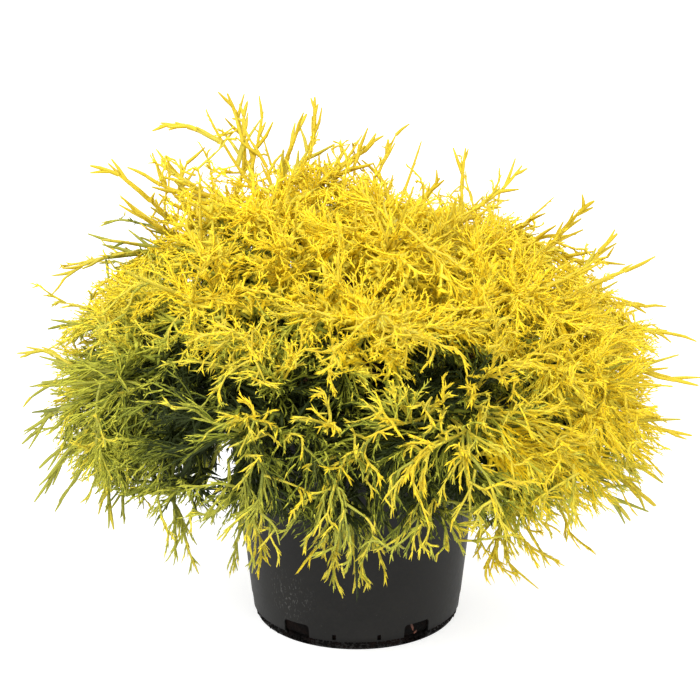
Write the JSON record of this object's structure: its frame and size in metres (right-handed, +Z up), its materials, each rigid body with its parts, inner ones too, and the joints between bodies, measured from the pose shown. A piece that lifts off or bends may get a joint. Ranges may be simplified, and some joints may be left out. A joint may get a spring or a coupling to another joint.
{
  "type": "potted threadleaf cypress",
  "caption": "Low, dome-shaped conifer with arching, thread-like golden foliage that weeps over the rim of a plain black nursery pot.",
  "frame": {"origin": "centre of the pot's flat underside, on the ground", "axes": "+Z up along the pot's axis, -Y towards the side the picture shows, +X to the right as seen from there"},
  "size_m": [0.6643, 0.6782, 0.5421],
  "materials": {
    "pot_plastic": "black moulded plastic with a soft sheen and light scuffs",
    "potting_mix": "dark, rough shredded bark",
    "bark": "red-brown bark, rough",
    "foliage_gold": "golden yellow thread-like shoots, matt",
    "foliage_yellow": "lemon yellow thread-like shoots, matt",
    "foliage_lime": "yellow-green thread-like shoots, matt"
  },
  "bodies": {
    "root": {"pot": "pot_plastic", "potting_mix": "potting_mix", "stem": "bark", "bough_top_1": "bark", "bough_top_2": "bark", "bough_top_3": "bark", "bough_upper_1": "bark", "bough_upper_2": "bark", "bough_upper_3": "bark", "bough_upper_4": "bark", "bough_upper_5": "bark", "bough_upper_6": "bark", "bough_outer_1": "bark", "bough_outer_2": "bark", "bough_outer_3": "bark", "bough_outer_4": "bark", "bough_outer_5": "bark", "bough_outer_6": "bark", "bough_outer_7": "bark", "bough_outer_8": "bark", "bough_skirt_1": "bark", "bough_skirt_2": "bark", "bough_skirt_3": "bark", "bough_skirt_4": "bark", "bough_skirt_5": "bark", "bough_skirt_6": "bark", "bough_skirt_7": "bark", "foliage_top_1": "foliage_gold", "foliage_top_2": "foliage_gold", "foliage_top_3": "foliage_gold", "foliage_upper_1": "foliage_gold", "foliage_upper_2": "foliage_gold", "foliage_upper_3": "foliage_gold", "foliage_upper_4": "foliage_gold", "foliage_upper_5": "foliage_gold", "foliage_upper_6": "foliage_gold", "foliage_outer_1": "foliage_yellow", "foliage_outer_2": "foliage_yellow", "foliage_outer_3": "foliage_yellow", "foliage_outer_4": "foliage_yellow", "foliage_outer_5": "foliage_yellow", "foliage_outer_6": "foliage_yellow", "foliage_outer_7": "foliage_yellow", "foliage_outer_8": "foliage_yellow", "foliage_skirt_1": "foliage_lime", "foliage_skirt_2": "foliage_lime", "foliage_skirt_3": "foliage_lime", "foliage_skirt_4": "foliage_lime", "foliage_skirt_5": "foliage_lime", "foliage_skirt_6": "foliage_lime", "foliage_skirt_7": "foliage_lime"}
  },
  "joints": []
}
